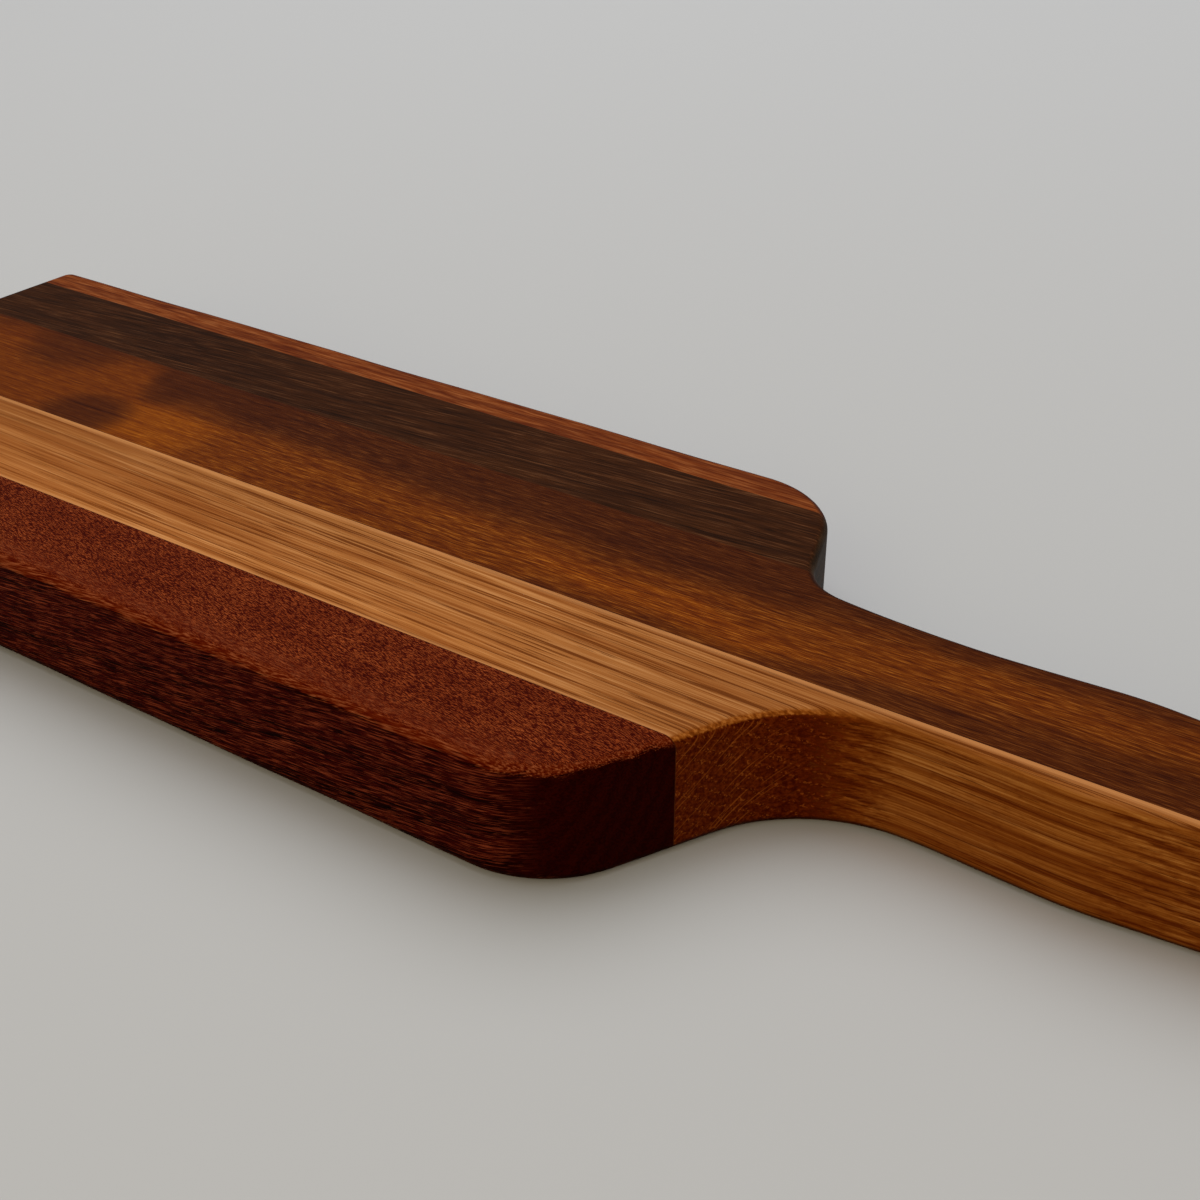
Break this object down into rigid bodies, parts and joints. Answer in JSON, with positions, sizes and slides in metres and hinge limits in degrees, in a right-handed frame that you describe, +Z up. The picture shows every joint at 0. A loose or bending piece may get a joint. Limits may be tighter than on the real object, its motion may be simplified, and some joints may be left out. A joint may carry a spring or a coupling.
{
  "type": "paddle charcuterie board",
  "caption": "Small paddle serving board edge-glued from hardwood staves, with swept shoulders, a waisted handle, rolled edges and a hanging hole near the handle's tip.",
  "frame": {"origin": "middle of the board's underside, at the centre of its overall length and width", "axes": "+X along the board to the tip of the handle, +Z up through the thickness, the edge with the longer shoulder sweep on the -Y side"},
  "size_m": [0.305, 0.0954, 0.019],
  "materials": {
    "near_sapele": "oiled satin, red-brown with short flecks",
    "oak": "oiled satin, tan with straight dark pore lines",
    "brown_walnut": "oiled satin, brown with golden zones",
    "dark_walnut": "oiled satin, dark grey-brown",
    "far_sapele": "oiled satin, red-orange with lighter streaks",
    "glue": "cured wood glue, flush with the wood"
  },
  "bodies": {
    "root": {"near_sapele_stave": "near_sapele", "oak_stave": "oak", "brown_walnut_stave": "brown_walnut", "dark_walnut_stave": "dark_walnut", "far_sapele_stave": "far_sapele", "glue_near_sapele_to_oak": "glue", "glue_oak_to_walnut": "glue", "glue_walnut_to_walnut": "glue", "glue_walnut_to_far_sapele": "glue"}
  },
  "joints": []
}
